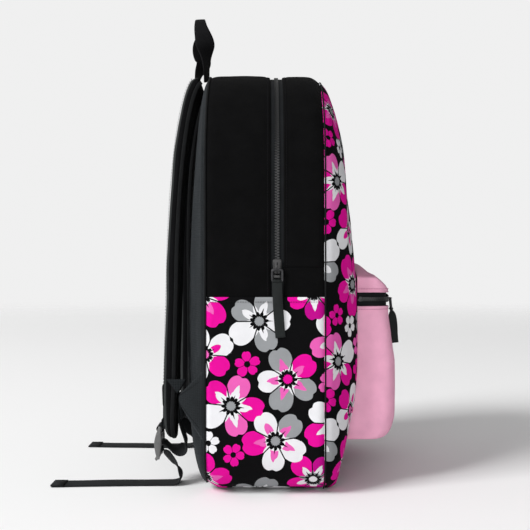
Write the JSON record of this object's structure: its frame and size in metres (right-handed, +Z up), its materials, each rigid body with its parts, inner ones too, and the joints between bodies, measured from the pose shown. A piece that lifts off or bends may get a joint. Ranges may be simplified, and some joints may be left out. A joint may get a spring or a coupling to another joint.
{
  "type": "school backpack",
  "caption": "Zipped school backpack with a domed front, sloping front pocket, side slip pockets, padded straps and a carry handle.",
  "frame": {"origin": "on the floor, half way across the bag and 60.5 mm in front of the rear seam", "axes": "+X across the bag towards the wearer's right, +Y towards the wearer's back, with the front pocket on -Y, +Z up"},
  "size_m": [0.3276, 0.376, 0.533],
  "materials": {
    "black_canvas": "plain-woven black polyester canvas",
    "floral_print": "canvas printed with large five-petal flowers in magenta, pink, white and grey on black",
    "pink_canvas": "pale pink woven canvas with topstitching",
    "back_mesh": "padded blue-grey spacer mesh",
    "foam": "closed-cell foam padding",
    "lining": "plain lining cloth",
    "binding": "ribbed binding tape",
    "zipper_tape": "knitted zipper tape",
    "zipper_teeth": "moulded black teeth",
    "slider_metal": "black enamelled die-cast metal",
    "ring_metal": "dark nickel-plated wire",
    "ribbon": "black grosgrain ribbon",
    "webbing": "black polyester webbing",
    "strap_face": "dark grey padded strap fabric",
    "strap_mesh": "black spacer mesh",
    "lock_plastic": "moulded dark grey plastic"
  },
  "bodies": {
    "bag": {"back_panel_cover": "back_mesh", "back_panel_foam": "foam", "back_panel_lining": "lining", "inner_sleeve": "lining", "rear_gusset": "black_canvas", "lower_gusset_left": "black_canvas", "lower_gusset_right": "black_canvas", "bottom_panel": "floral_print", "side_pocket_left": "floral_print", "side_pocket_right": "floral_print", "front_panel_base": "floral_print", "rear_seam_binding": "binding", "front_seam_binding_base": "binding", "sleeve_binding": "binding", "main_tape_rear": "zipper_tape", "main_tape_ends": "zipper_tape", "pocket_tape_lower": "zipper_tape", "pocket_tape_upper": "zipper_tape", "main_teeth_rear": "zipper_teeth", "pocket_teeth_lower": "zipper_teeth", "pocket_teeth_upper": "zipper_teeth", "main_stops": "slider_metal", "pocket_stops": "slider_metal", "pocket_body": "pink_canvas", "pocket_top": "pink_canvas", "anchor_wing_left": "strap_face", "anchor_wing_right": "strap_face"},
    "flap": {"front_panel_top": "floral_print", "front_gusset": "black_canvas", "front_seam_binding_top": "binding", "main_tape_front": "zipper_tape", "main_teeth_front": "zipper_teeth"},
    "main_slider": {"main_slider": "slider_metal"},
    "main_pull": {"main_pull_ring": "ring_metal", "main_pull_ribbon": "ribbon"},
    "pocket_slider": {"pocket_slider": "slider_metal"},
    "pocket_pull": {"pocket_pull_ring": "ring_metal", "pocket_pull_ribbon": "ribbon"},
    "handle": {"carry_handle": "webbing"},
    "strap_left": {"strap_left_foam": "foam", "strap_left_binding": "binding", "strap_left_loop": "webbing", "strap_left_face": "strap_face", "strap_left_patch": "strap_face", "strap_left_mesh": "strap_mesh", "webbing_left": "webbing"},
    "lock_left": {"ladder_lock_left": "lock_plastic"},
    "strap_right": {"strap_right_foam": "foam", "strap_right_binding": "binding", "strap_right_loop": "webbing", "strap_right_face": "strap_face", "strap_right_patch": "strap_face", "strap_right_mesh": "strap_mesh", "webbing_right": "webbing"},
    "lock_right": {"ladder_lock_right": "lock_plastic"}
  },
  "joints": [
    {"name": "flap_open", "type": "hinge", "parent": "bag", "child": "flap", "pos_m": [0, -0.1006, 0.2378], "axis": [1, 0, 0], "range_deg": [0, 50]},
    {"name": "main_slider_travel", "type": "slide", "parent": "bag", "child": "main_slider", "axis": [0, 0, 1], "range_m": [0, 0.088]},
    {"name": "main_pull_swing", "type": "hinge", "parent": "main_slider", "child": "main_pull", "pos_m": [-0.1632, -0.014, 0.235], "axis": [0, 1, 0], "range_deg": [0, 150]},
    {"name": "pocket_slider_travel", "type": "slide", "parent": "bag", "child": "pocket_slider", "axis": [1, 0, 0], "range_m": [0, 0.176]},
    {"name": "pocket_pull_swing", "type": "hinge", "parent": "pocket_slider", "child": "pocket_pull", "pos_m": [-0.088, -0.1397, 0.2032], "axis": [-1, 0, 0], "range_deg": [0, 100]},
    {"name": "handle_flop", "type": "hinge", "parent": "bag", "child": "handle", "pos_m": [0, 0.068, 0.4625], "axis": [1, 0, 0], "range_deg": [-70, 70]},
    {"name": "strap_left_swing", "type": "hinge", "parent": "bag", "child": "strap_left", "pos_m": [-0.05, 0.064, 0.448], "axis": [1, 0, 0], "range_deg": [0, 25], "deforming": ["webbing_left"]},
    {"name": "lock_left_tilt", "type": "hinge", "parent": "strap_left", "child": "lock_left", "pos_m": [-0.099, 0.1123, 0.062], "axis": [1, 0, 0], "range_deg": [-5, 60], "deforming": ["webbing_left"]},
    {"name": "strap_right_swing", "type": "hinge", "parent": "bag", "child": "strap_right", "pos_m": [0.05, 0.064, 0.448], "axis": [1, 0, 0], "range_deg": [0, 25], "deforming": ["webbing_right"]},
    {"name": "lock_right_tilt", "type": "hinge", "parent": "strap_right", "child": "lock_right", "pos_m": [0.099, 0.1123, 0.062], "axis": [1, 0, 0], "range_deg": [-5, 60], "deforming": ["webbing_right"]}
  ]
}
